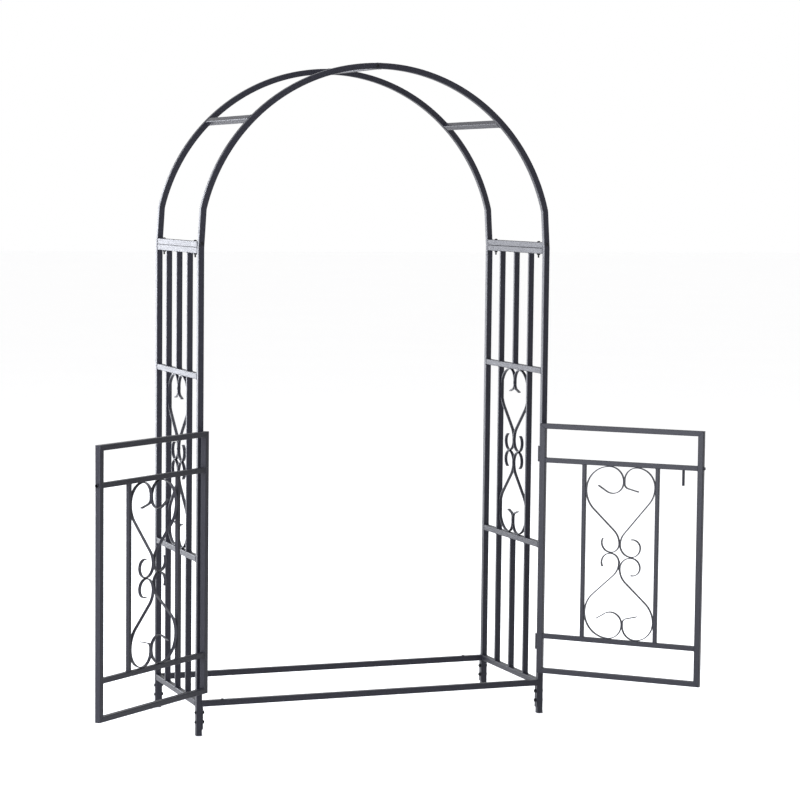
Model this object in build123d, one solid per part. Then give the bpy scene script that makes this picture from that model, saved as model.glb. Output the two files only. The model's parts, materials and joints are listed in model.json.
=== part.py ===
from build123d import *
import os
from math import asin, atan2, cos, degrees, hypot, radians, sin, sqrt, tan

os.makedirs("parts", exist_ok=True)

# Garden arch with two side trellis panels, a round hoop roof and a pair of low gates.
# All sizes are in millimetres.  While building, x is to the right, y to the back, z up,
# and the middle of the arch on the ground is zero; the last step moves the whole object
# so that zero is the middle of its footprint with both gates standing open.

# overall sizes
overall_width = 1200.0
overall_depth = 500.0
panel_height = 1547.0

# square tube used for posts, rails, hoops and gate frames
tube = 19.0
tube_wall = 1.2
tube_corner = 2.0

# lighter square tubes
bar = 16.0
bar_wall = 1.2
bar_corner = 1.6
thin_bar = 12.7

# flat tube used for the upright bars of the side panels, as wide as the rails they join
flat_bar_depth = 11.0
flat_bar_wall = 1.2
flat_bar_corner = 1.6

# heights of the side panel rails (top faces)
upper_rail_top = 1152.0
lower_rail_top = 573.0
base_rail_top = 112.0
panel_bar_spacing = 120.25

# hoops
hoop_lean = 3.5
hoop_bend_radius = 40.0
hoop_centre_drop = 20.5
crossbar_angle = 45.0
crown_joint_x = 8.0
crown_joint_gap = 0.3
splice_length = 70.0
splice_clearance = 0.2

# joints between posts and hoops
spigot_length = 40.0
joint_screw_height = 12.5
crown_screw_x = -10.0
screw_head = 10.0
screw_head_height = 3.0
screw_shank = 4.0
screw_length = 5.0
screw_clearance = 0.1

# bolts through foot rails and stakes
bolt_size = 6.0
bolt_clearance = 0.2
bolt_head = 10.5
bolt_head_height = 4.0
nut_width = 10.0
nut_height = 5.0
nut_clearance = 0.05
thread_end = 4.5
foot_rail_bolt_y = 180.4

# base bars
stub_length = 85.0
base_bar_screw_inset = 69.0

# stakes inside the foot of each post
stake_thickness = 3.0
stake_bottom = 20.0
stake_top_clearance = 1.0
stake_bolt_heights = (43.0, 74.0)

# gate hinges
hinge_offset = 6.5
knuckle_size = 12.0
pin_size = 6.0
pin_clearance = 0.05
pin_head = 9.0
pin_head_height = 1.5
knuckle_gap = 0.3
upper_hinge_bottom = 844.0
lower_hinge_bottom = 218.0
hinge_height = 52.0
web_start = 3.4
web_front = 2.2
web_depth = 5.0

# gate leaves, measured along the leaf from the hinge axis
leaf_start = 7.0
leaf_gap = 12.0
leaf_bottom = 140.5
leaf_top = 972.0
leaf_rail = 17.0
upper_inner_bottom = 843.0
lower_inner_bottom = 257.0
inner_bar_offset = 126.0
right_open_angle = 135.0
left_open_angle = 141.5

# scrolls bent from flat strip
strip_thickness = 3.0
strip_depth = 10.0
strip_gap = 0.2

# how each scroll ends: share of the lobe inside its top, straight run at the middle,
# bend, turn and straight length of the big tip, small curl, turn of the small curl
hinge_side_ends = (0.37, 2.0, 38.0, 122.0, 34.0, 0.25, 122.0)
free_side_ends = (0.41, 11.0, 16.0, 76.0, 38.0, 0.328, 190.0)
panel_ends = (0.34, 14.0, 16.0, 72.0, 27.0, 0.328, 158.0)
leaf_lobe_shift = 12.0
free_side_drop = 12.0

# sliding latch
rod_size = 10.0
rod_clearance = 0.1
rod_length = 150.0
rod_reach = 5.0
rod_travel = 24.0
handle_inset = 68.0
handle_size = 9.0
handle_drop = 51.0
handle_slot_margin = 1.0
keeper_size = 12.6
keeper_bore = 10.6
keeper_reach = 5.0

# places worked out from the sizes above
post_x = overall_width / 2 - tube / 2
post_y = overall_depth / 2 - tube / 2
inner_x = post_x - tube / 2
inner_y = post_y - tube / 2
hoop_radius = overall_width / 2
hoop_centre_z = panel_height - hoop_centre_drop
hinge_x = inner_x - hinge_offset
hinge_y = -overall_depth / 2
leaf_end = hinge_x - leaf_gap / 2
leaf_middle = (leaf_start + leaf_end) / 2
spigot = tube - 2 * tube_wall - 2 * splice_clearance
stake_top = base_rail_top - tube - stake_top_clearance


def tube_profile(width, height, wall, corner):
    outer = RectangleRounded(width, height, corner)
    inner = RectangleRounded(width - 2 * wall, height - 2 * wall, corner - wall + 0.1)
    return outer - inner


def straight_tube(start, end, side_direction, width, height, wall, corner):
    run = Vector(*end) - Vector(*start)
    plane = Plane(origin=start, x_dir=side_direction, z_dir=run.normalized())
    return extrude(plane * tube_profile(width, height, wall, corner), amount=run.length)


def main_tube(start, end, side_direction):
    return straight_tube(start, end, side_direction, tube, tube, tube_wall, tube_corner)


def light_tube(start, end, side_direction):
    return straight_tube(start, end, side_direction, bar, bar, bar_wall, bar_corner)


def thin_tube(start, end, side_direction):
    return straight_tube(start, end, side_direction, thin_bar, thin_bar, bar_wall, bar_corner)


def flat_tube(start, end):
    return straight_tube(start, end, (1, 0, 0), tube, flat_bar_depth, flat_bar_wall, flat_bar_corner)


def insert_tube(start, end, side_direction):
    return straight_tube(start, end, side_direction, spigot, spigot, tube_wall, bar_corner)


def rod(start, direction, radius, length):
    plane = Plane(origin=start, z_dir=direction)
    return extrude(plane * Circle(radius), amount=length)


def block(x_range, y_range, z_range):
    size = (x_range[1] - x_range[0], y_range[1] - y_range[0], z_range[1] - z_range[0])
    middle = (sum(x_range) / 2, sum(y_range) / 2, sum(z_range) / 2)
    return Pos(*middle) * Box(*size)


def domed_fastener(head, head_height, shank, length):
    ball_radius = (head * head / 4 + head_height * head_height) / (2 * head_height)
    ball = Pos(0, 0, head_height - ball_radius) * Sphere(ball_radius)
    dome = split(ball, bisect_by=Plane.XY, keep=Keep.TOP)
    stem = Pos(0, 0, -length / 2) * Cylinder(shank / 2, length)
    return dome + stem


def fastener_at(fastener, seat, outward):
    return Plane(origin=seat, z_dir=outward) * fastener


def hex_nut():
    outline = RegularPolygon(nut_width / 2, 6, major_radius=False)
    return extrude(outline - Circle(bolt_size / 2 + nut_clearance), amount=nut_height)


def joint_screw():
    return domed_fastener(screw_head, screw_head_height, screw_shank, screw_length)


def screw_hole(seat, inward):
    depth = screw_length + 1.0
    outside = Vector(*seat) - Vector(*inward) * 1.0
    return rod(outside, inward, screw_shank / 2 + screw_clearance, depth + 1.0)


# ---------------------------------------------------------------- flat strip bends


def bent_strip(start, heading, steps):
    # steps are (radius, turn) for a bend, or (0, length) for a straight run
    half = strip_thickness / 2
    left_edges = []
    right_edges = []
    place = Vector(*start)
    angle = radians(heading)
    left = place + Vector(-sin(angle), cos(angle)) * half
    right = place - Vector(-sin(angle), cos(angle)) * half
    first_left = left
    first_right = right
    for radius, amount in steps:
        if radius == 0:
            place = place + Vector(cos(angle), sin(angle)) * amount
            side = Vector(-sin(angle), cos(angle)) * half
            left_edges.append(Edge.make_line(left, place + side))
            right_edges.append(Edge.make_line(right, place - side))
            left = place + side
            right = place - side
            continue
        way = 1 if amount > 0 else -1
        centre = place + Vector(-sin(angle), cos(angle)) * (way * radius)
        turned = []
        for share in (0.5, 1.0):
            new_angle = angle + radians(amount) * share
            side = Vector(-sin(new_angle), cos(new_angle))
            spot = centre - side * (way * radius)
            turned.append((spot + side * half, spot - side * half, spot))
        left_edges.append(Edge.make_three_point_arc(left, turned[0][0], turned[1][0]))
        right_edges.append(Edge.make_three_point_arc(right, turned[0][1], turned[1][1]))
        left = turned[1][0]
        right = turned[1][1]
        place = turned[1][2]
        angle = angle + radians(amount)
    caps = [Edge.make_line(left, right), Edge.make_line(first_right, first_left)]
    outline = Wire(left_edges + caps[:1] + right_edges[::-1] + caps[1:])
    return Pos(0, 0, -strip_depth / 2) * extrude(Face(outline), amount=strip_depth, dir=(0, 0, 1))


def s_scroll(half_width, height, ends, shift):
    # one quarter of a scroll group, drawn to the right of and above the group's middle
    lobe_share, middle_run, tip_radius, tip_turn, tip_run, curl_share, end_turn = ends
    near = strip_thickness / 2 + strip_gap / 2
    span = half_width - strip_thickness - 1.5 * strip_gap
    inner_lobe = lobe_share * (span - shift)
    outer_lobe = (1 - lobe_share) * (span - shift)
    curl = curl_share * span
    tight = 0.268 * span
    top_z = height - strip_gap - strip_thickness / 2
    lobe_z = top_z - outer_lobe
    low_z = near + curl
    drop = lobe_z - low_z
    ease = min(1.0, 0.95 * drop / (1.245 * span))
    outer_bend = 0.73 * span * ease
    inner_bend = 0.515 * span * ease
    bends = outer_bend + inner_bend
    slope = asin(bends / hypot(bends - span, drop)) - atan2(bends - span, drop)
    run = (span - bends) * sin(slope) + drop * cos(slope)
    turned = radians(tip_turn)
    tip_x = near + shift + tip_radius * (1 - cos(turned)) + tip_run * sin(turned)
    tip_z = top_z - inner_lobe - middle_run - tip_radius * sin(turned) - tip_run * cos(turned)
    steps = [
        (0, tip_run),
        (tip_radius, -tip_turn),
        (0, middle_run),
        (inner_lobe, -90),
        (outer_lobe, -90),
        (outer_bend, -degrees(slope)),
        (0, run),
        (inner_bend, degrees(slope)),
        (curl, 90),
        (tight, 90),
        (0.85 * tight, end_turn - 90),
    ]
    return bent_strip((tip_x, tip_z), 90 + tip_turn, steps)


def scroll_pair(half_width, half_height, ends, shift, middle_z):
    # an upper and a lower scroll whose small curls meet at middle_z
    upper = Pos(0, middle_z, 0) * s_scroll(half_width, half_height - middle_z, ends, shift)
    below = mirror(s_scroll(half_width, half_height + middle_z, ends, shift), about=Plane.XZ)
    return [upper, Pos(0, middle_z, 0) * below]


def scroll_group(half_width, half_height, left_ends, right_ends, shift, right_drop):
    right = scroll_pair(half_width, half_height, right_ends, shift, -right_drop)
    left = scroll_pair(half_width, half_height, left_ends, -shift, 0)
    return right + [mirror(item, about=Plane.YZ) for item in left]


# ---------------------------------------------------------------- hoops


def hoop_points(end_x):
    start = (post_x, panel_height)
    lean = radians(hoop_lean)
    run = (-sin(lean), cos(lean))
    inward = (-cos(lean), -sin(lean))
    reach_x = start[0] + hoop_bend_radius * inward[0]
    reach_z = start[1] + hoop_bend_radius * inward[1] - hoop_centre_z
    along = reach_x * run[0] + reach_z * run[1]
    span = hoop_radius - hoop_bend_radius
    rise = -along + sqrt(along * along - reach_x ** 2 - reach_z ** 2 + span ** 2)
    low = (start[0] + rise * run[0], start[1] + rise * run[1])
    centre_x = reach_x + rise * run[0]
    centre_z = reach_z + rise * run[1]
    scale = hoop_radius / hypot(centre_x, centre_z)
    high_angle = atan2(centre_x, centre_z)
    end_angle = asin(end_x / hoop_radius)
    bend_angle = (high_angle + (radians(90) - lean)) / 2
    bend_mid = (
        centre_x + hoop_bend_radius * sin(bend_angle),
        centre_z + hoop_centre_z + hoop_bend_radius * cos(bend_angle),
    )
    high = (centre_x * scale, hoop_centre_z + centre_z * scale)
    below = (start[0] - 6 * run[0], start[1] - 6 * run[1])
    return below, low, bend_mid, high, high_angle, end_angle


def arc_point(angle):
    return (hoop_radius * sin(angle), hoop_centre_z + hoop_radius * cos(angle))


def hoop_path(side, y, end_x):
    below, low, bend_mid, high, high_angle, end_angle = hoop_points(end_x)
    middle = arc_point((high_angle + end_angle) / 2)
    end = arc_point(end_angle)

    def place(point):
        return (side * point[0], y, point[1])

    leg = Edge.make_line(place(below), place(low))
    bend = Edge.make_three_point_arc(place(low), place(bend_mid), place(high))
    sweep_arc = Edge.make_three_point_arc(place(high), place(middle), place(end))
    return Wire([leg, bend, sweep_arc])


def swept_square(path, size, corner):
    plane = Plane(origin=path @ 0, x_dir=(0, 1, 0), z_dir=path % 0)
    return sweep(plane * RectangleRounded(size, size, corner), path=path)


def hoop_half(side, front, end_x):
    y = front * post_y
    path = hoop_path(side, y, end_x)
    outer = swept_square(path, tube, tube_corner)
    inner = swept_square(path, tube - 2 * tube_wall, tube_corner - tube_wall + 0.1)
    below_joint = block(
        (side * post_x - tube, side * post_x + tube),
        (y - tube, y + tube),
        (panel_height - tube, panel_height),
    )
    half = outer - inner - below_joint
    half = half - screw_hole(leg_screw_seat(side, front), (0, -front, 0))
    return half


def leg_screw_seat(side, front):
    lean_in = joint_screw_height * tan(radians(hoop_lean))
    x = side * (post_x - lean_in)
    return (x, front * overall_depth / 2, panel_height + joint_screw_height)


def crown_screw_seat(front):
    z = hoop_centre_z + sqrt(hoop_radius ** 2 - crown_screw_x ** 2)
    return (crown_screw_x, front * overall_depth / 2, z)


def crown_splice(front):
    y = front * post_y
    middle = asin(crown_joint_x / hoop_radius)
    half = splice_length / 2 / hoop_radius
    points = [arc_point(middle - half), arc_point(middle), arc_point(middle + half)]
    places = [(point[0], y, point[1]) for point in points]
    path = Wire([Edge.make_three_point_arc(*places)])
    outer = swept_square(path, spigot, bar_corner)
    inner = swept_square(path, spigot - 2 * tube_wall, bar_corner - tube_wall + 0.1)
    return outer - inner - screw_hole(crown_screw_seat(front), (0, -front, 0))


def post_spigot(side, front):
    x = side * post_x
    y = front * post_y
    lower = insert_tube((x, y, panel_height - spigot_length), (x, y, panel_height), (1, 0, 0))
    lean = radians(hoop_lean)
    run = (-side * sin(lean), 0, cos(lean))
    start = (x - 6 * run[0], y, panel_height - 6 * run[2])
    end = (x + spigot_length * run[0], y, panel_height + spigot_length * run[2])
    upper = insert_tube(start, end, (cos(lean), 0, side * sin(lean)))
    under = block((x - tube, x + tube), (y - tube, y + tube), (panel_height - tube, panel_height))
    both = lower + (upper - under)
    return both - screw_hole(leg_screw_seat(side, front), (0, -front, 0))


# ---------------------------------------------------------------- posts and panels


def stake_bolt_holes(side, y):
    holes = []
    for height in stake_bolt_heights:
        start = (side * (overall_width / 2 + 1), y, height)
        radius = bolt_size / 2 + bolt_clearance
        holes.append(rod(start, (-side, 0, 0), radius, tube + stake_thickness + 2))
    return holes


def post(side, front):
    x = side * post_x
    y = front * post_y
    body = main_tube((x, y, 0), (x, y, panel_height), (1, 0, 0))
    return body - stake_bolt_holes(side, y)


def stake(side, front):
    y = front * post_y
    x_range = sorted((side * inner_x, side * (inner_x - stake_thickness)))
    plate = block(x_range, (y - tube / 2, y + tube / 2), (stake_bottom, stake_top))
    return plate - stake_bolt_holes(side, y)


def foot_rail_bolt_holes(side):
    holes = []
    for y in (-foot_rail_bolt_y, foot_rail_bolt_y):
        start = (side * post_x, y, panel_height - tube - 1)
        holes.append(rod(start, (0, 0, 1), bolt_size / 2 + bolt_clearance, 2 * tube + 2))
    return holes


def cross_rails(side):
    x = side * post_x
    rails = []
    for top in (panel_height, upper_rail_top, lower_rail_top, base_rail_top):
        z = top - tube / 2
        rails.append(main_tube((x, -inner_y, z), (x, inner_y, z), (1, 0, 0)))
    rails[0] = rails[0] - foot_rail_bolt_holes(side)
    return rails


def upright_bars(side, places, bottom, top):
    x = side * post_x
    return [flat_tube((x, y, bottom), (x, y, top)) for y in places]


def panel_scrolls(side):
    bottom = lower_rail_top
    top = upper_rail_top - tube
    middle = (side * post_x, 0, (bottom + top) / 2)
    plane = Plane(origin=middle, x_dir=(0, 1, 0), z_dir=(1, 0, 0))
    half_width = panel_bar_spacing - flat_bar_depth / 2
    group = scroll_group(half_width, (top - bottom) / 2, panel_ends, panel_ends, 0, 0)
    return [plane * item for item in group]


def foot_rail(side):
    x = side * post_x
    z = panel_height + tube / 2
    rail = main_tube((x, -inner_y, z), (x, inner_y, z), (1, 0, 0))
    return rail - foot_rail_bolt_holes(side)


def arch_crossbar(angle):
    x, z = arc_point(radians(angle))
    turned = (cos(radians(angle)), 0, -sin(radians(angle)))
    return main_tube((x, -inner_y, z), (x, inner_y, z), turned)


# ---------------------------------------------------------------- base bars


def base_bar_screw_seat(front):
    # the front bar is locked near its left end and the rear bar near its right end
    return (front * (inner_x - base_bar_screw_inset), front * post_y, base_rail_top)


def base_bar(front):
    y = front * post_y
    z = base_rail_top - tube / 2
    tube_run = main_tube((-inner_x, y, z), (inner_x, y, z), (0, 1, 0))
    return tube_run - screw_hole(base_bar_screw_seat(front), (0, 0, -1))


def base_bar_stub(front):
    y = front * post_y
    z = base_rail_top - tube / 2
    start = (front * inner_x, y, z)
    end = (front * (inner_x - stub_length), y, z)
    stub = insert_tube(start, end, (0, 1, 0))
    return stub - screw_hole(base_bar_screw_seat(front), (0, 0, -1))


# ---------------------------------------------------------------- hinges
# hinge parts and leaves are drawn with the hinge axis at zero and the closed leaf running
# along +x, then mirrored for the right side, turned open and moved to the hinge.


def knuckle(bottom, top, web_way):
    barrel = rod((0, 0, bottom), (0, 0, 1), knuckle_size / 2, top - bottom)
    reach = leaf_start if web_way > 0 else hinge_offset
    x_range = sorted((web_way * web_start, web_way * reach))
    web = block(x_range, (web_front, web_front + web_depth), (bottom, top))
    bore = rod((0, 0, bottom - 1), (0, 0, 1), pin_size / 2 + pin_clearance, top - bottom + 2)
    return barrel + web - bore


def post_knuckle(bottom):
    return knuckle(bottom, bottom + hinge_height / 2 - knuckle_gap / 2, -1)


def leaf_knuckle(bottom):
    return knuckle(bottom + hinge_height / 2 + knuckle_gap / 2, bottom + hinge_height, 1)


def hinge_pin(bottom):
    pin = rod((0, 0, bottom), (0, 0, 1), pin_size / 2, hinge_height + 0.5)
    head = rod((0, 0, bottom - pin_head_height), (0, 0, 1), pin_head / 2, pin_head_height)
    return pin + head


def at_hinge(side, items, angle):
    if side > 0:
        items = [mirror(item, about=Plane.YZ) for item in items]
    turn = Location((side * hinge_x, hinge_y, 0), (0, 0, side * angle))
    return [turn * item for item in items]


# ---------------------------------------------------------------- gate leaves


def corner_cut(points):
    outline = Face(Wire.make_polygon([Vector(x, -1, z) for x, z in points]))
    return extrude(outline, amount=tube + 2, dir=(0, 1, 0))


def corner_data():
    corners = []
    for x_outer, x_way in ((leaf_start, 1), (leaf_end, -1)):
        for z_outer, z_way in ((leaf_bottom, 1), (leaf_top, -1)):
            outer = (x_outer, z_outer)
            inner = (x_outer + x_way * tube, z_outer + z_way * leaf_rail)
            corners.append((outer, inner, x_way, z_way))
    return corners


def extended(outer, inner, x_way, z_way):
    # the mitre line, run on past both its ends
    step_x = inner[0] - outer[0]
    step_z = inner[1] - outer[1]
    before = (outer[0] - step_x, outer[1] - step_z)
    after = (inner[0] + step_x, inner[1] + step_z)
    return before, after


def leaf_stile(x_outer):
    x = x_outer + (tube / 2 if x_outer == leaf_start else -tube / 2)
    stile = main_tube((x, tube / 2, leaf_bottom), (x, tube / 2, leaf_top), (1, 0, 0))
    for outer, inner, x_way, z_way in corner_data():
        if outer[0] != x_outer:
            continue
        before, after = extended(outer, inner, x_way, z_way)
        stile = stile - corner_cut([before, after, (after[0], before[1])])
    return stile


def leaf_edge_rail(z_outer):
    z = z_outer + (leaf_rail / 2 if z_outer == leaf_bottom else -leaf_rail / 2)
    start = (leaf_start, tube / 2, z)
    end = (leaf_end, tube / 2, z)
    rail = straight_tube(start, end, (0, 1, 0), tube, leaf_rail, tube_wall, tube_corner)
    for outer, inner, x_way, z_way in corner_data():
        if outer[1] != z_outer:
            continue
        before, after = extended(outer, inner, x_way, z_way)
        rail = rail - corner_cut([before, after, (before[0], after[1])])
    return rail


def leaf_inner_rail(bottom):
    z = bottom + bar / 2
    start = (leaf_start + tube, tube / 2, z)
    end = (leaf_end - tube, tube / 2, z)
    return light_tube(start, end, (0, 1, 0))


def leaf_inner_bars():
    bottom = lower_inner_bottom + bar
    bars = []
    for x in (leaf_middle - inner_bar_offset, leaf_middle + inner_bar_offset):
        start = (x, tube / 2, bottom)
        bars.append(thin_tube(start, (x, tube / 2, upper_inner_bottom), (1, 0, 0)))
    return bars


def leaf_scrolls():
    bottom = lower_inner_bottom + bar
    top = upper_inner_bottom
    middle = (leaf_middle, tube / 2, (bottom + top) / 2)
    plane = Plane(origin=middle, x_dir=(1, 0, 0), z_dir=(0, -1, 0))
    half_width = inner_bar_offset - thin_bar / 2
    half_height = (top - bottom) / 2
    ends = (hinge_side_ends, free_side_ends)
    group = scroll_group(half_width, half_height, *ends, leaf_lobe_shift, free_side_drop)
    return [plane * item for item in group]


latch_z = upper_inner_bottom + bar / 2
handle_x = leaf_end - handle_inset


def latch_hole(radius, start, length):
    return rod((start, tube / 2, latch_z), (1, 0, 0), radius, length)


def latched_stile():
    hole = latch_hole(rod_size / 2 + rod_clearance, leaf_end - tube - 1, tube + 2)
    return leaf_stile(leaf_end) - hole


def keeper_stile():
    hole = latch_hole(keeper_size / 2 + rod_clearance, leaf_end - tube_wall - 2, tube_wall + 4)
    return leaf_stile(leaf_end) - hole


def latch_keeper():
    start = leaf_end - tube + tube_wall + 0.3
    length = leaf_end + keeper_reach - start
    return latch_hole(keeper_size / 2, start, length) - latch_hole(keeper_bore / 2, start - 1, length + 2)


def slotted_rail():
    half = handle_size / 2 + handle_slot_margin
    x_range = (handle_x - half, handle_x + rod_travel + half)
    y_range = (tube / 2 - half, tube / 2 + half)
    z_range = (upper_inner_bottom - 1, upper_inner_bottom + bar_wall + 1)
    return leaf_inner_rail(upper_inner_bottom) - block(x_range, y_range, z_range)


def latch_bolt():
    start = leaf_end + rod_reach - rod_length
    bolt = latch_hole(rod_size / 2, start, rod_length)
    return chamfer(bolt.edges().filter_by(GeomType.CIRCLE), 0.8)


def latch_handle():
    handle = rod((handle_x, tube / 2, upper_inner_bottom - handle_drop), (0, 0, 1), handle_size / 2,
                 handle_drop + bar / 2)
    lowest = handle.edges().filter_by(GeomType.CIRCLE).sort_by(Axis.Z)[0]
    handle = chamfer(lowest, 0.8)
    saddle = latch_hole(rod_size / 2 + 0.02, handle_x - handle_size, 2 * handle_size)
    above = block(
        (handle_x - handle_size, handle_x + handle_size),
        (0, tube),
        (latch_z, latch_z + handle_size),
    )
    return handle - saddle - above


def leaf_nodes(name, side, angle, special):
    nodes = {
        "hinge_stile": [leaf_stile(leaf_start)],
        "free_stile": [leaf_stile(leaf_end)],
        "top_rail": [leaf_edge_rail(leaf_top)],
        "bottom_rail": [leaf_edge_rail(leaf_bottom)],
        "upper_inner_rail": [leaf_inner_rail(upper_inner_bottom)],
        "lower_inner_rail": [leaf_inner_rail(lower_inner_bottom)],
        "inner_bars": leaf_inner_bars(),
        "scrolls": leaf_scrolls(),
        "knuckles": [leaf_knuckle(upper_hinge_bottom), leaf_knuckle(lower_hinge_bottom)],
    }
    nodes.update(special)
    return {name + "_" + key: at_hinge(side, items, angle) for key, items in nodes.items()}


# ---------------------------------------------------------------- everything together

nodes = {}
sides = (("left", -1), ("right", 1))
fronts = (("front", -1), ("rear", 1))

for side_name, side in sides:
    for front_name, front in fronts:
        nodes[front_name + "_" + side_name + "_post"] = [post(side, front)]
        end_x = side * crown_joint_x + crown_joint_gap / 2
        nodes[front_name + "_" + side_name + "_hoop"] = [hoop_half(side, front, end_x)]
    low_top = lower_rail_top - tube
    mid_top = upper_rail_top - tube
    three = (-panel_bar_spacing, 0.0, panel_bar_spacing)
    two = (-panel_bar_spacing, panel_bar_spacing)
    nodes[side_name + "_cross_rails"] = cross_rails(side)
    nodes[side_name + "_upper_bars"] = upright_bars(side, three, upper_rail_top, panel_height - tube)
    nodes[side_name + "_middle_bars"] = upright_bars(side, two, lower_rail_top, mid_top)
    nodes[side_name + "_lower_bars"] = upright_bars(side, three, base_rail_top, low_top)
    nodes[side_name + "_panel_scrolls"] = panel_scrolls(side)
    nodes[side_name + "_foot_rail"] = [foot_rail(side)]
    nodes[side_name + "_arch_crossbar"] = [arch_crossbar(side * crossbar_angle)]

nodes["crown_crossbar"] = [arch_crossbar(0)]
nodes["crown_splices"] = [crown_splice(front) for front in (-1, 1)]
nodes["front_left_hoop"][0] = nodes["front_left_hoop"][0] - screw_hole(crown_screw_seat(-1), (0, 1, 0))
nodes["rear_left_hoop"][0] = nodes["rear_left_hoop"][0] - screw_hole(crown_screw_seat(1), (0, -1, 0))

corners = [(side, front) for side in (-1, 1) for front in (-1, 1)]
nodes["post_spigots"] = [post_spigot(side, front) for side, front in corners]

screws = [fastener_at(joint_screw(), leg_screw_seat(side, front), (0, front, 0)) for side, front in corners]
for front in (-1, 1):
    screws.append(fastener_at(joint_screw(), crown_screw_seat(front), (0, front, 0)))
    screws.append(fastener_at(joint_screw(), base_bar_screw_seat(front), (0, 0, 1)))
nodes["joint_screws"] = screws

nodes["front_base_bar"] = [base_bar(-1)]
nodes["rear_base_bar"] = [base_bar(1)]
nodes["base_bar_stubs"] = [base_bar_stub(front) for front in (-1, 1)]

nodes["front_stakes"] = [stake(side, -1) for side in (-1, 1)]
nodes["rear_stakes"] = [stake(side, 1) for side in (-1, 1)]

stake_bolt_length = tube + stake_thickness + nut_height + thread_end
stake_bolts = []
stake_nuts = []
for side, front in corners:
    for height in stake_bolt_heights:
        seat = (side * overall_width / 2, front * post_y, height)
        bolt = domed_fastener(bolt_head, bolt_head_height, bolt_size, stake_bolt_length)
        stake_bolts.append(fastener_at(bolt, seat, (side, 0, 0)))
        nut_seat = (side * (inner_x - stake_thickness), front * post_y, height)
        stake_nuts.append(fastener_at(hex_nut(), nut_seat, (-side, 0, 0)))
nodes["stake_bolts"] = stake_bolts
nodes["stake_nuts"] = stake_nuts

rail_bolt_length = 2 * tube + nut_height + 2 * thread_end
rail_bolts = []
rail_nuts = []
for side in (-1, 1):
    for y in (-foot_rail_bolt_y, foot_rail_bolt_y):
        bolt = domed_fastener(bolt_head, bolt_head_height, bolt_size, rail_bolt_length)
        rail_bolts.append(fastener_at(bolt, (side * post_x, y, panel_height + tube), (0, 0, 1)))
        rail_nuts.append(fastener_at(hex_nut(), (side * post_x, y, panel_height - tube), (0, 0, -1)))
nodes["foot_rail_bolts"] = rail_bolts
nodes["foot_rail_nuts"] = rail_nuts

hinge_bottoms = (upper_hinge_bottom, lower_hinge_bottom)
nodes["post_knuckles"] = []
nodes["hinge_pins"] = []
for side in (-1, 1):
    nodes["post_knuckles"] += at_hinge(side, [post_knuckle(z) for z in hinge_bottoms], 0)
    nodes["hinge_pins"] += at_hinge(side, [hinge_pin(z) for z in hinge_bottoms], 0)

right_extra = {
    "free_stile": [latched_stile()],
    "upper_inner_rail": [slotted_rail()],
    "latch_bolt": [latch_bolt()],
    "latch_handle": [latch_handle()],
}
left_extra = {
    "free_stile": [keeper_stile()],
    "latch_keeper": [latch_keeper()],
}
nodes.update(leaf_nodes("right_gate", 1, right_open_angle, right_extra))
nodes.update(leaf_nodes("left_gate", -1, left_open_angle, left_extra))

# zero is the middle of the whole footprint, gates open, on the ground
whole = None
for items in nodes.values():
    for item in items:
        box = item.bounding_box()
        whole = box if whole is None else whole.add(box)
middle_x = (whole.min.X + whole.max.X) / 2
middle_y = (whole.min.Y + whole.max.Y) / 2
to_origin = Location((-middle_x, -middle_y, 0))

for name, items in nodes.items():
    solids = []
    for item in items:
        solids += [solid.moved(to_origin) for solid in item.solids()]
    export_step(Compound(children=solids), "parts/" + name + ".step")

print("nodes", len(nodes))
print("arch centre", round(-middle_x, 4), round(-middle_y, 4))
print("size", round(whole.size.X, 3), round(whole.size.Y, 3), round(whole.size.Z, 3))
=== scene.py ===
import json
import math

import bmesh
import bpy
from mathutils import Matrix, Vector


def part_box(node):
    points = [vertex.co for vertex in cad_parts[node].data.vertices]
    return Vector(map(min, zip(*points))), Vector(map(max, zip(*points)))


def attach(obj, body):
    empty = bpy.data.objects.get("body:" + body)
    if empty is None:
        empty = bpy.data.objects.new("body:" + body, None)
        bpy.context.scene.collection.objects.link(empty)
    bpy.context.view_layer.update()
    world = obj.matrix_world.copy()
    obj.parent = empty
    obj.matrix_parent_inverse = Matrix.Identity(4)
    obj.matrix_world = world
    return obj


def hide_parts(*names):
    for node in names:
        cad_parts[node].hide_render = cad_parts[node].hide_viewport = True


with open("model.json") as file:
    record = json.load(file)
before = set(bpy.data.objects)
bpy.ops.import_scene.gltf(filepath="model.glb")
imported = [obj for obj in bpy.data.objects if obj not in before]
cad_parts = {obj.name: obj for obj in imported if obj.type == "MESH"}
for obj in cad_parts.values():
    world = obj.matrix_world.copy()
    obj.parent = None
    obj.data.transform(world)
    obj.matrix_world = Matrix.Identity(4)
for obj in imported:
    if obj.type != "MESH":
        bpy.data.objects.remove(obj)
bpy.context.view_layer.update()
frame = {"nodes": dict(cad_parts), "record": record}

nodes = frame["nodes"]

MM = 0.001

# Weld beads: radius of each kind, then how a bead is laid.
bar_bead = 1.6 * MM
crossbar_bead = 1.8 * MM
scroll_bead = 1.5 * MM
mitre_bead = 1.1 * MM
bead_step = 1.1 * MM
bead_sides = 6
bead_taper = 0.35
ripple_share, ripple_rate = 0.16, 2.3
wander_share, wander_rate, wander_shift = 0.12, 0.61, 1.7

# How deep the beads sit in the corners that they fill.
collar_inset = 0.56 * MM
crossbar_half_width = 9.5 * MM
crossbar_inset = 0.5 * MM
scroll_bead_half_length = 4.5 * MM
scroll_bead_inset = 0.4 * MM
scroll_touch_band = 0.4 * MM
scroll_waist_share = 0.5
mitre_start = 1.2 * MM
mitre_stop = 0.5 * MM
mitre_sink = 0.5 * MM
side_crossbar_tilt = math.radians(45)

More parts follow.
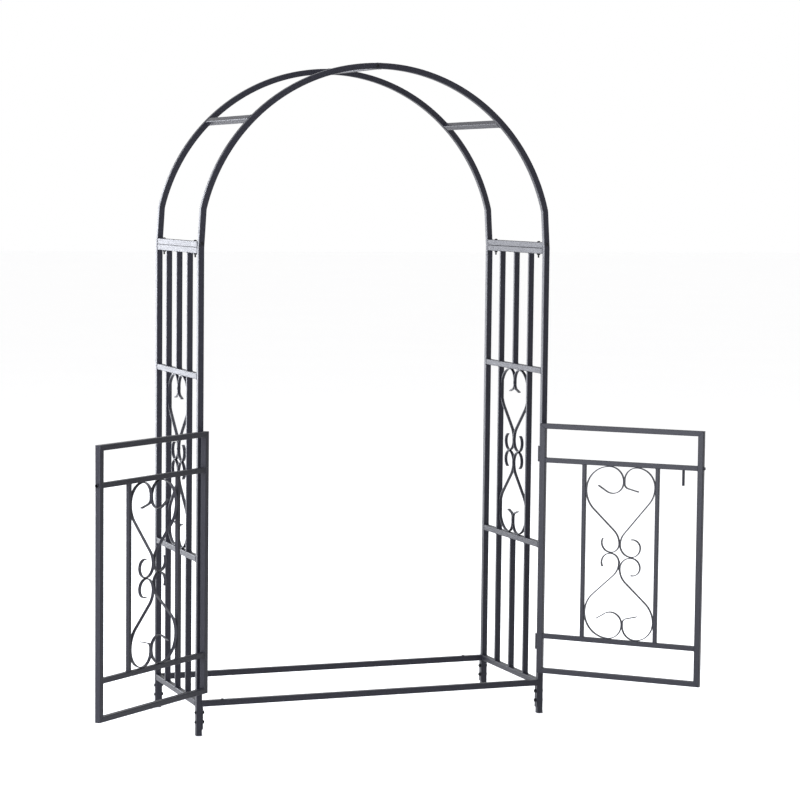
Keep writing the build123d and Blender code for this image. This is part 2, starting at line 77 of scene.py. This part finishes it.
# Screws, bolts, nuts and washers.
screw_crown = 3.0 * MM
bolt_crown = 4.0 * MM
crown_flat = 0.02 * MM
head_band = 0.5 * MM
head_rim = 0.7 * MM
dome_steps = 22
rim_share = 0.97
screw_segments = 48
bolt_segments = 40
shank_segments = 24
recess_half_width = 0.75 * MM
recess_half_length = 2.5 * MM
recess_depth = 1.3 * MM
recess_floor = 0.6 * MM
thread_radius = 3.0 * MM
thread_pitch = 1.0 * MM
thread_cut = 0.45 * MM
thread_chamfer = 0.6 * MM
stake_thread, stake_spare = 10.5 * MM, 3.0 * MM
foot_rail_thread, foot_rail_spare = 15.0 * MM, 0.5 * MM
washer_segments = 40
nut_segments = 48
nut_half_flats = 5.0 * MM
nut_corner = 5.77 * MM
nut_bore = 3.05 * MM
nut_bore_height = 4.9 * MM

# The arch stands on the ground; this is the middle of its four posts.
post_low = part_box("front_left_post")[0]
post_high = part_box("rear_right_post")[1]
arch_middle = Vector(((post_low.x + post_high.x) / 2, (post_low.y + post_high.y) / 2, 0))

# ------------------------------------------------------------------ finishes


class Sock:
    """One output of a finish's nodes, so that shader maths reads as ordinary maths."""

    def __init__(self, finish, socket):
        self.finish = finish
        self.socket = socket

    def maths(self, operation, first, second):
        return self.finish.node("Math", {"operation": operation}, {0: first, 1: second})

    def __add__(self, other):
        return self.maths("ADD", self, other)

    def __radd__(self, other):
        return self.maths("ADD", other, self)

    def __sub__(self, other):
        return self.maths("SUBTRACT", self, other)

    def __rsub__(self, other):
        return self.maths("SUBTRACT", other, self)

    def __mul__(self, other):
        return self.maths("MULTIPLY", self, other)

    def __rmul__(self, other):
        return self.maths("MULTIPLY", other, self)

    def clamped(self):
        """The same value, held between 0 and 1."""
        return self.finish.node("Math", {"operation": "MULTIPLY", "use_clamp": True}, {0: self, 1: 1.0})

    def ramp(self, low, high):
        """0 below low, 1 above high and a smooth step between them."""
        settings = {"interpolation_type": "SMOOTHSTEP"}
        sockets = {"Value": self, "From Min": low, "From Max": high}
        return self.finish.node("MapRange", settings, sockets, "Result")


class Finish:
    """One procedural finish, put together node by node."""

    # a colour Mix node has several sockets of one name, so they go by number
    mix_factor, mix_first, mix_second, mix_result = 0, 6, 7, 2

    def __init__(self, name):
        self.material = bpy.data.materials.new(name)
        self.material.use_nodes = True
        self.tree = self.material.node_tree
        self.shader = self.tree.nodes["Principled BSDF"]

    def node(self, kind, settings, sockets, output=0):
        """Any shader node: its type, its settings, then the values or links of its sockets."""
        made = self.tree.nodes.new("ShaderNode" + kind)
        for key, value in settings.items():
            setattr(made, key, value)
        for key, value in sockets.items():
            self.fill(made.inputs[key], value)
        return Sock(self, made.outputs[output])

    def fill(self, slot, value):
        """Links another node's output to a socket, or sets the socket's own value."""
        if isinstance(value, Sock):
            self.tree.links.new(value.socket, slot)
        else:
            slot.default_value = value

    def place(self):
        return self.node("TexCoord", {}, {}, "Object")

    def noise(self, scale, detail=2.0, roughness=0.5):
        sockets = {"Vector": self.place(), "Scale": scale, "Detail": detail, "Roughness": roughness}
        return self.node("TexNoise", {}, sockets, "Fac")

    def cells(self, scale):
        return self.node("TexVoronoi", {}, {"Vector": self.place(), "Scale": scale}, "Distance")

    def mix(self, factor, first, second):
        sockets = {self.mix_factor: factor, self.mix_first: first, self.mix_second: second}
        return self.node("Mix", {"data_type": "RGBA"}, sockets, self.mix_result)

    def bump(self, height, distance, strength, under=None):
        """Raises the surface by a height, on top of the bump under it."""
        sockets = {"Distance": distance, "Strength": strength, "Height": height}
        if under is not None:
            sockets["Normal"] = under
        return self.node("Bump", {}, sockets)

    def edges(self, radius):
        """0 on flats, rising on sharp edges."""
        rounded = self.node("Bevel", {"samples": 6}, {"Radius": radius})
        plain = self.node("NewGeometry", {}, {}, "Normal")
        likeness = self.node("VectorMath", {"operation": "DOT_PRODUCT"}, {0: rounded, 1: plain}, "Value")
        return 1.0 - likeness

    def surface(self, sockets):
        """Fills the shader's sockets and gives the finished material."""
        for key, value in sockets.items():
            self.fill(self.shader.inputs[key], value)
        return self.material


def charcoal_coat(name, dark, light, grain=1.0):
    """Hammered, half-gloss powder coat: small soft dimples, slight clouding and worn edges."""
    coat = Finish(name)
    cloud = coat.noise(scale=9.0, detail=3.0)
    speck = coat.noise(scale=420.0, detail=3.0, roughness=0.65).ramp(0.42, 0.62)
    rubbed = coat.noise(scale=130.0, detail=3.0).ramp(0.35, 0.7)
    worn = (coat.edges(1.2 * MM) * 2.2 * rubbed).clamped()
    tone = (cloud * 0.35 + speck * 0.65).clamped()
    bare_edge = (0.13, 0.135, 0.15, 1)
    swell = coat.noise(scale=210.0 * grain, detail=3.0, roughness=0.7)
    dimples = coat.cells(scale=520.0 * grain)
    fine = coat.noise(scale=1500.0, roughness=0.6)
    swollen = coat.bump(swell, distance=0.9 * MM, strength=0.5)
    dimpled = coat.bump(dimples, distance=0.4 * MM, strength=0.6, under=swollen)
    return coat.surface({
        "Base Color": coat.mix(worn * 0.5, coat.mix(tone, dark, light), bare_edge),
        "Roughness": (0.34 + cloud * 0.12 + speck * 0.08 - worn * 0.06).clamped(),
        "Normal": coat.bump(fine, distance=0.1 * MM, strength=0.4, under=dimpled),
        "Specular IOR Level": 0.14,
        "Coat Weight": 0.1,
        "Coat Roughness": 0.3,
    })


def fastener_black(name):
    """Thin black finish on screws, bolts and nuts, rubbed grey along its edges."""
    paint = Finish(name)
    cloud = paint.noise(scale=300.0, detail=3.0)
    rubbed = paint.noise(scale=700.0).ramp(0.3, 0.7)
    worn = (paint.edges(0.6 * MM) * 2.5 * rubbed).clamped()
    return paint.surface({
        "Base Color": paint.mix(worn * 0.5, (0.004, 0.004, 0.0045, 1), (0.07, 0.07, 0.075, 1)),
        "Roughness": 0.3 + cloud * 0.2,
        "Normal": paint.bump(paint.noise(scale=1800.0), distance=0.06 * MM, strength=0.3),
        "Specular IOR Level": 0.12,
    })


def plated_steel(name):
    """Dull plating on the hinge pins, streaked and slightly stained."""
    steel = Finish(name)
    streak = steel.noise(scale=900.0, detail=4.0, roughness=0.7)
    stain = steel.noise(scale=120.0, detail=3.0).ramp(0.35, 0.7)
    return steel.surface({
        "Base Color": steel.mix(stain, (0.42, 0.42, 0.43, 1), (0.26, 0.255, 0.25, 1)),
        "Roughness": 0.28 + streak * 0.25,
        "Metallic": 0.95,
        "Normal": steel.bump(streak, distance=0.04 * MM, strength=0.4),
    })


def pale_paper(name, shade):
    """Plain matt paper, very slightly clouded."""
    paper = Finish(name)
    shaded = (shade * 0.985, shade * 0.985, shade * 0.99, 1)
    return paper.surface({
        "Base Color": paper.mix(paper.noise(scale=0.7), (shade, shade, shade, 1), shaded),
        "Roughness": 0.9,
    })


coat = charcoal_coat("charcoal_hammered_coat", (0.0050, 0.0050, 0.0078, 1), (0.0145, 0.0148, 0.0215, 1))
bead_coat = charcoal_coat("coated_weld_bead", (0.007, 0.0072, 0.0105, 1), (0.019, 0.0195, 0.028, 1), 0.6)
black = fastener_black("black_fastener_finish")
steel = plated_steel("plated_pin_steel")
finish_of_slot = {"charcoal_coat": coat, "black_fastener": black, "plain_steel": steel}
slot_of_node = {entry["node"]: entry["material_slot"] for entry in frame["record"]["subparts"]}
for name, thing in nodes.items():
    thing.data.materials.clear()
    thing.data.materials.append(finish_of_slot[slot_of_node[name]])

# ------------------------------------------------------------------ reading the CAD pieces

# ways along a body's axes are numbered 0 along, 1 across and 2 upright
UPRIGHT = 2


class Axes:
    """A right-handed set of directions that the pieces of one body line up with."""

    def __init__(self, along, across, upward):
        self.rows = (along.normalized(), across.normalized(), upward.normalized())

    def measure(self, point):
        return Vector([row.dot(point) for row in self.rows])

    def point(self, values):
        return sum((row * value for row, value in zip(self.rows, values)), Vector((0, 0, 0)))


def middle_of(node):
    low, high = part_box(node)
    return (low + high) / 2


def leaf_axes(side):
    run = middle_of(side + "_gate_free_stile") - middle_of(side + "_gate_hinge_stile")
    run.z = 0
    upward = Vector((0, 0, 1))
    return Axes(run, upward.cross(run), upward)


frame_axes = Axes(Vector((1, 0, 0)), Vector((0, 1, 0)), Vector((0, 0, 1)))
axes_of_side = {side: leaf_axes(side) for side in ("left", "right")}


def solids_of(node):
    """The corners of each separate solid of a CAD node, one list a solid."""
    made = bmesh.new()
    made.from_mesh(nodes[node].data)
    bmesh.ops.remove_doubles(made, verts=made.verts, dist=0.01 * MM)
    made.verts.ensure_lookup_table()
    left = set(range(len(made.verts)))
    found = []
    while left:
        first = made.verts[left.pop()]
        group = [first.co.copy()]
        waiting = [first]
        while waiting:
            corner = waiting.pop()
            for edge in corner.link_edges:
                other = edge.other_vert(corner)
                if other.index in left:
                    left.discard(other.index)
                    waiting.append(other)
                    group.append(other.co.copy())
        found.append(group)
    made.free()
    return found


def span_of(points, axes):
    """The lowest and highest corners of some points, measured along a body's axes."""
    measured = [axes.measure(point) for point in points]
    low = Vector([min(point[i] for point in measured) for i in range(3)])
    high = Vector([max(point[i] for point in measured) for i in range(3)])
    return low, high


def node_span(node, axes):
    return span_of([point for solid in solids_of(node) for point in solid], axes)


def new_piece(name, made, body, finish, smooth=True):
    mesh = bpy.data.meshes.new(name)
    made.to_mesh(mesh)
    made.free()
    for face in mesh.polygons:
        face.use_smooth = smooth
    piece = bpy.data.objects.new(name, mesh)
    bpy.context.scene.collection.objects.link(piece)
    piece.data.materials.append(finish)
    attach(piece, body)
    return piece


# ------------------------------------------------------------------ weld beads

# the corners of a square, in turn, back to the first
square_round = ((1, 1), (-1, 1), (-1, -1), (1, -1), (1, 1))


class Beads:
    """All the weld beads of one body, gathered into one mesh."""

    def __init__(self, body):
        self.body = body
        self.mesh = bmesh.new()
        self.count = 0

    def lumpy_radius(self, radius, index):
        """The bead's radius at one ring: a quick ripple and a slow wander along it."""
        travelled = index * bead_step / MM
        ripple = ripple_share * math.sin(travelled * ripple_rate + self.count)
        wander = wander_share * math.sin(travelled * wander_rate + self.count * wander_shift)
        return radius * (1.0 + ripple + wander)

    def ring(self, spot, way, size):
        side = way.orthogonal().normalized()
        other = way.cross(side)
        corners = []
        for k in range(bead_sides):
            angle = math.tau * k / bead_sides
            out = side * math.cos(angle) + other * math.sin(angle)
            corners.append(self.mesh.verts.new(spot + out * size))
        return corners

    def join(self, low, high):
        """Skins two rings, matched by nearness because the bead turns corners."""
        shift = min(range(bead_sides), key=lambda s: (low[0].co - high[s].co).length)
        onward = (low[1].co - high[(shift + 1) % bead_sides].co).length
        backward = (low[1].co - high[(shift - 1) % bead_sides].co).length
        spin = -1 if onward > backward else 1
        for k in range(bead_sides):
            a = high[(shift + spin * k) % bead_sides]
            b = high[(shift + spin * (k + 1)) % bead_sides]
            self.mesh.faces.new((low[k], low[(k + 1) % bead_sides], b, a))

    def run(self, points, radius):
        """A lumpy bead along a line of points, tapered at its ends unless it closes."""
        self.count += 1
        spots = []
        for a, b in zip(points, points[1:]):
            steps = max(1, round((b - a).length / bead_step))
            spots += [a.lerp(b, k / steps) for k in range(steps)]
        spots.append(points[-1])
        last = len(spots) - 1
        is_open = (points[0] - points[-1]).length > 0.001 * MM
        rings = []
        for index, spot in enumerate(spots):
            way = (spots[min(last, index + 1)] - spots[max(0, index - 1)]).normalized()
            size = self.lumpy_radius(radius, index)
            if is_open and index in (0, last):
                size *= bead_taper
            rings.append(self.ring(spot, way, size))
        for low, high in zip(rings, rings[1:]):
            self.join(low, high)
        self.mesh.faces.new(rings[0][::-1])
        self.mesh.faces.new(rings[-1])

    def collar(self, low, high, long_way, end, axes):
        """A bead right round the end of a square tube."""
        first, second = [i for i in range(3) if i != long_way]
        line = []
        for first_sign, second_sign in square_round:
            values = Vector((0, 0, 0))
            values[long_way] = end
            values[first] = (high if first_sign > 0 else low)[first] - first_sign * collar_inset
            values[second] = (high if second_sign > 0 else low)[second] - second_sign * collar_inset
            line.append(axes.point(values))
        self.run(line, bar_bead)

    def finish(self, name):
        bmesh.ops.recalc_face_normals(self.mesh, faces=self.mesh.faces)
        new_piece(name, self.mesh, self.body, bead_coat)


def weld_ends(beads, node, axes):
    """A collar at both ends of every bar or rail of a node."""
    for solid in solids_of(node):
        low, high = span_of(solid, axes)
        sizes = high - low
        long_way = max(range(3), key=lambda i: sizes[i])
        for end in (low[long_way], high[long_way]):
            beads.collar(low, high, long_way, end, axes)


def furthest(points, way, sign):
    """The middle of a strip where it reaches furthest along one way."""
    reach = max(point[way] * sign for point in points)
    chosen = [point for point in points if point[way] * sign > reach - scroll_touch_band]
    return sum(chosen, Vector((0, 0, 0))) / len(chosen)


def weld_scrolls(beads, node, axes):
    """Short beads wherever a scroll meets a bar, a rail or the next scroll."""
    low, high = node_span(node, axes)
    middle = (low + high) / 2
    flat = min(range(3), key=lambda i: high[i] - low[i])
    level = next(i for i in range(3) if i not in (flat, UPRIGHT))
    waist_height = scroll_waist_share * (high[UPRIGHT] - low[UPRIGHT]) / 2
    for solid in solids_of(node):
        measured = [axes.measure(point) - middle for point in solid]
        centre = sum(measured, Vector((0, 0, 0))) / len(measured)
        outwards = 1 if centre[level] > 0 else -1
        upwards = 1 if centre[UPRIGHT] > 0 else -1
        lobe = [point for point in measured if abs(point[UPRIGHT]) > waist_height]
        waist = [point for point in measured if abs(point[UPRIGHT]) <= waist_height]
        touches = [
            (furthest(lobe, level, outwards), UPRIGHT),
            (furthest(lobe, UPRIGHT, upwards), level),
            (furthest(lobe, level, -outwards), UPRIGHT),
            (furthest(waist, level, -outwards), UPRIGHT),
            (furthest(waist, UPRIGHT, -upwards), level),
        ]
        for touch, way in touches:
            for face in (low[flat] + scroll_bead_inset, high[flat] - scroll_bead_inset):
                ends = []
                for sign in (-1, 1):
                    values = middle + touch
                    values[flat] = face
                    values[way] += sign * scroll_bead_half_length
                    ends.append(axes.point(values))
                beads.run(ends, scroll_bead)


def weld_mitres(beads, side):
    """Bead lines across the four mitred corners of a gate leaf, on both faces."""
    axes = axes_of_side[side]
    bottom_low, bottom_high = node_span(side + "_gate_bottom_rail", axes)
    top_low, top_high = node_span(side + "_gate_top_rail", axes)
    stile_low, stile_high = node_span(side + "_gate_hinge_stile", axes)
    level_reach = stile_high.x - stile_low.x - mitre_stop
    upright_reach = top_high.z - top_low.z - mitre_stop
    for x, x_way in ((bottom_low.x, 1), (bottom_high.x, -1)):
        for z, z_way in ((bottom_low.z, 1), (top_high.z, -1)):
            for face in (stile_low.y + mitre_sink, stile_high.y - mitre_sink):
                start = axes.point((x + x_way * mitre_start, face, z + z_way * mitre_start))
                end = axes.point((x + x_way * level_reach, face, z + z_way * upright_reach))
                beads.run([start, end], mitre_bead)


def weld_crossbar(beads, node, tilt):
    """Beads round both ends of a crossbar that is turned about its own length."""
    low, high = node_span(node, frame_axes)
    centre = (low + high) / 2
    reach = crossbar_half_width - crossbar_inset
    for end in (low.y, high.y):
        line = []
        for first_sign, second_sign in square_round:
            a = first_sign * reach
            b = second_sign * reach
            x = centre.x + a * math.cos(tilt) - b * math.sin(tilt)
            z = centre.z + a * math.sin(tilt) + b * math.cos(tilt)
            line.append(Vector((x, end, z)))
        beads.run(line, crossbar_bead)


def weld_frame():
    beads = Beads("frame")
    for side in ("left", "right"):
        for kind in ("_cross_rails", "_foot_rail", "_upper_bars", "_middle_bars", "_lower_bars"):
            weld_ends(beads, side + kind, frame_axes)
        weld_scrolls(beads, side + "_panel_scrolls", frame_axes)
    weld_crossbar(beads, "left_arch_crossbar", side_crossbar_tilt)
    weld_crossbar(beads, "right_arch_crossbar", side_crossbar_tilt)
    weld_crossbar(beads, "crown_crossbar", 0.0)
    beads.finish("frame_weld_beads")


def weld_gate(side):
    beads = Beads(side + "_gate")
    axes = axes_of_side[side]
    for kind in ("_upper_inner_rail", "_lower_inner_rail", "_inner_bars"):
        weld_ends(beads, side + "_gate" + kind, axes)
    weld_scrolls(beads, side + "_gate_scrolls", axes)
    weld_mitres(beads, side)
    beads.finish(side + "_gate_weld_beads")


weld_frame()
weld_gate("left")
weld_gate("right")

# ------------------------------------------------------------------ screws, bolts and nuts


def stand(seat, outward):
    """A place at a seat, with its own upward axis pointing out of the seat."""
    return Matrix.Translation(seat) @ outward.to_track_quat("Z", "Y").to_matrix().to_4x4()


def add_ring(made, place, radii, height, dent=None):
    """A ring of corners round the axis of a place, one for each radius."""
    corners = []
    for k, radius in enumerate(radii):
        angle = math.tau * k / len(radii)
        spot = Vector((radius * math.cos(angle), radius * math.sin(angle), height))
        if dent:
            spot.z -= dent(spot)
        corners.append(made.verts.new(place @ spot))
    return corners


def skin(made, rings):
    for low, high in zip(rings, rings[1:]):
        count = len(low)
        for k in range(count):
            onward = (k + 1) % count
            made.faces.new((low[k], low[onward], high[onward], high[k]))


def turned(made, profile, place, segments, dent=None):
    """Turns a profile of (radius, height) round the axis of a place, and closes its ends."""
    rings = [add_ring(made, place, [radius] * segments, height, dent) for radius, height in profile]
    skin(made, rings)
    made.faces.new(rings[0][::-1])
    made.faces.new(rings[-1])


def cross_recess(spot):
    """How deep the driver recess is at one spot of a screw's head."""
    along_x = abs(spot.x) < recess_half_length and abs(spot.y) < recess_half_width
    along_y = abs(spot.y) < recess_half_length and abs(spot.x) < recess_half_width
    return recess_depth if (along_x or along_y) and spot.z > recess_floor else 0.0


def dome_profile(radius, height):
    """A head from its seat up to the crown, in steps fine enough for the recess."""
    lines = [(radius, 0.0), (radius, head_band), (radius, head_rim)]
    for step in range(1, dome_steps):
        angle = math.radians(90) * step / dome_steps
        lines.append((radius * math.cos(angle), head_rim + (height - head_rim) * math.sin(angle)))
    lines.append((crown_flat, height))
    return lines


def thread_profile(start, end):
    """A bolt shank that ends in a few thread ridges and a small chamfer."""
    lines = [(crown_flat, 0.0), (thread_radius, 0.0), (thread_radius, start)]
    height = start
    while height + thread_pitch < end - thread_chamfer:
        lines.append((thread_radius - thread_cut, height + thread_pitch / 2))
        lines.append((thread_radius, height + thread_pitch))
        height += thread_pitch
    lines.append((thread_radius - thread_chamfer, end))
    lines.append((crown_flat, end))
    return lines


def head_seats(node):
    """Each head's seat, the way it faces, how far its shank reaches and its radius."""
    found = []
    for solid in solids_of(node):
        low, high = span_of(solid, frame_axes)
        sizes = high - low
        centre = (low + high) / 2
        # a screw is as wide one way as the other, and its length runs the third way
        way = min(range(3), key=lambda i: abs(sizes[i - 1] - sizes[i - 2]))
        first, second = [i for i in range(3) if i != way]
        radii = [math.hypot(point[first] - centre[first], point[second] - centre[second]) for point in solid]
        widest = max(radii)
        rim = [point[way] for point, radius in zip(solid, radii) if radius > rim_share * widest]
        seat = centre.copy()
        seat[way] = sum(rim) / len(rim)
        outward = Vector((0, 0, 0))
        outward[way] = 1.0 if seat[way] > centre[way] else -1.0
        tip = (low if outward[way] > 0 else high)[way]
        found.append((seat, outward, abs(seat[way] - tip), widest))
    return found


def crosshead_screws():
    made = bmesh.new()
    for seat, outward, reach, radius in head_seats("joint_screws"):
        turned(made, dome_profile(radius, screw_crown), stand(seat, outward), screw_segments, cross_recess)
    piece = new_piece("crosshead_joint_screws", made, "frame", black)
    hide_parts("joint_screws")


def coach_bolts(node, name, thread, spare):
    """Domed bolts, threaded over their last stretch and cut back by what is spare."""
    made = bmesh.new()
    for seat, outward, reach, radius in head_seats(node):
        turned(made, dome_profile(radius, bolt_crown), stand(seat, outward), bolt_segments)
        turned(made, thread_profile(reach - thread, reach - spare), stand(seat, -outward), shank_segments)
    piece = new_piece(name, made, "frame", black)
    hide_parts(node)


# (radius, height) round a washer's section, in mm
washer_section = ((3.2, 0.0), (6.2, 0.0), (6.4, 0.5), (6.2, 1.0), (3.2, 1.0))
# height in mm, and the share of the full corner that the chamfer leaves there
nut_levels = ((0.9, 0.93), (1.4, 1.0), (4.4, 1.0), (5.0, 0.9))


def hexagon_radius(angle, corner):
    """The radius of a nut at one angle, with its corners cut to a circle."""
    turn = (angle + math.pi / 6) % (math.pi / 3) - math.pi / 6
    return min(nut_half_flats / math.cos(turn), corner)


def nut_facing(centre, way):
    """Nuts on upright bolts face down, and the nuts in the feet face the middle of the arch."""
    if way == UPRIGHT:
        return Vector((0, 0, -1))
    return Vector((-1.0 if centre.x > arch_middle.x else 1.0, 0, 0))


def hex_nuts(node, name):
    made = bmesh.new()
    for solid in solids_of(node):
        low, high = span_of(solid, frame_axes)
        sizes = high - low
        centre = (low + high) / 2
        way = min(range(3), key=lambda i: sizes[i])
        outward = nut_facing(centre, way)
        place = stand(centre - outward * sizes[way] / 2, outward)
        washer = [(radius * MM, height * MM) for radius, height in washer_section]
        turned(made, washer, place, washer_segments)
        rings = []
        for height, share in nut_levels:
            angles = [math.tau * k / nut_segments for k in range(nut_segments)]
            radii = [hexagon_radius(angle, nut_corner * share) for angle in angles]
            rings.append(add_ring(made, place, radii, height * MM))
        rings.append(add_ring(made, place, [nut_bore] * nut_segments, nut_bore_height))
        skin(made, rings)
    piece = new_piece(name, made, "frame", black, smooth=False)
    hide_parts(node)


crosshead_screws()
coach_bolts("stake_bolts", "stake_coach_bolts", stake_thread, stake_spare)
coach_bolts("foot_rail_bolts", "foot_rail_coach_bolts", foot_rail_thread, foot_rail_spare)
hex_nuts("stake_nuts", "stake_hex_nuts_and_washers")
hex_nuts("foot_rail_nuts", "foot_rail_hex_nuts_and_washers")

# ------------------------------------------------------------------ broken edges

# small broken edges on the cut steel, so that every edge catches a little light
thin_strips = ("scrolls", "stakes")
cut_steel = thin_strips + ("knuckles", "pins", "keeper", "bolt", "handle", "stile", "rail")
for name, thing in nodes.items():
    if name.endswith(cut_steel):
        edge = thing.modifiers.new("broken_edges", "BEVEL")
        edge.width = 0.7 * MM if name.endswith(thin_strips) else 0.35 * MM
        edge.segments = 2
        edge.limit_method = "ANGLE"
        edge.angle_limit = math.radians(40)

# ------------------------------------------------------------------ camera, floor and light


def from_arch(x, y, z):
    return arch_middle + Vector((x, y, z))


def studio_camera():
    """A long lens at eye height, in front and to the left of the arch, looking slightly down."""
    yaw = math.radians(20.919)
    pitch = math.radians(-4.654)
    roll = math.radians(0.625)
    data = bpy.data.cameras.new("studio_camera")
    data.sensor_width = 36.0
    data.lens = 115.83
    data.clip_start = 0.1
    data.clip_end = 100.0
    camera = bpy.data.objects.new("studio_camera", data)
    bpy.context.scene.collection.objects.link(camera)
    forward = Vector((math.sin(yaw) * math.cos(pitch), math.cos(yaw) * math.cos(pitch), math.sin(pitch)))
    right = Vector((math.cos(yaw), -math.sin(yaw), 0))
    up = right.cross(forward)
    right_rolled = right * math.cos(roll) + up * math.sin(roll)
    up_rolled = up * math.cos(roll) - right * math.sin(roll)
    turn = Matrix((right_rolled, up_rolled, -forward)).transposed()
    camera.matrix_world = Matrix.Translation(from_arch(-2.8805, -7.9909, 1.7314)) @ turn.to_4x4()
    bpy.context.scene.camera = camera


def studio_floor():
    """A large flat pale floor that reaches well past every view, just under the feet."""
    cells_each_way = 6
    cell = 10.0
    steps = range(-cells_each_way, cells_each_way + 1)
    made = bmesh.new()
    rows = [[made.verts.new((x * cell, y * cell, 0)) for x in steps] for y in steps]
    for low, high in zip(rows, rows[1:]):
        for k in range(2 * cells_each_way):
            made.faces.new((low[k], low[k + 1], high[k + 1], high[k]))
    mesh = bpy.data.meshes.new("studio_floor")
    made.to_mesh(mesh)
    made.free()
    floor = bpy.data.objects.new("studio_floor", mesh)
    bpy.context.scene.collection.objects.link(floor)
    floor.location.z = -0.5 * MM
    floor.data.materials.append(pale_paper("pale_floor_paper", 0.99))


cool_white = (0.90, 0.925, 1.0)


def softbox(name, place, target, size, power):
    data = bpy.data.lights.new(name, "AREA")
    data.shape = "RECTANGLE"
    data.size, data.size_y = size
    data.energy = power
    data.color = cool_white
    lamp = bpy.data.objects.new(name, data)
    lamp.location = place
    lamp.rotation_euler = (target - place).to_track_quat("-Z", "Y").to_euler()
    lamp.visible_camera = False
    bpy.context.scene.collection.objects.link(lamp)


def studio_air():
    """Even white light from all round, shown as plain white."""
    world = bpy.data.worlds.new("studio_air")
    world.use_nodes = True
    background = world.node_tree.nodes["Background"]
    background.inputs["Color"].default_value = (1, 1, 1, 1)
    background.inputs["Strength"].default_value = 1.0
    bpy.context.scene.world = world
    bpy.context.scene.view_settings.view_transform = "Standard"


studio_camera()
studio_floor()
studio_air()
softbox(
    "left_softbox",
    place=from_arch(-4.6, -3.1, 1.9), target=from_arch(0.3, -0.3, 0.8), size=(3.6, 3.6), power=560,
)
softbox(
    "rear_left_softbox",
    place=from_arch(-2.9, 6.6, 1.6), target=from_arch(0, 0, 1.0), size=(4.0, 3.4), power=380,
)
softbox(
    "top_softbox",
    place=from_arch(0.3, 1.2, 5.4), target=from_arch(0, 0, 1.0), size=(3.4, 3.4), power=150,
)

bpy.context.view_layer.update()
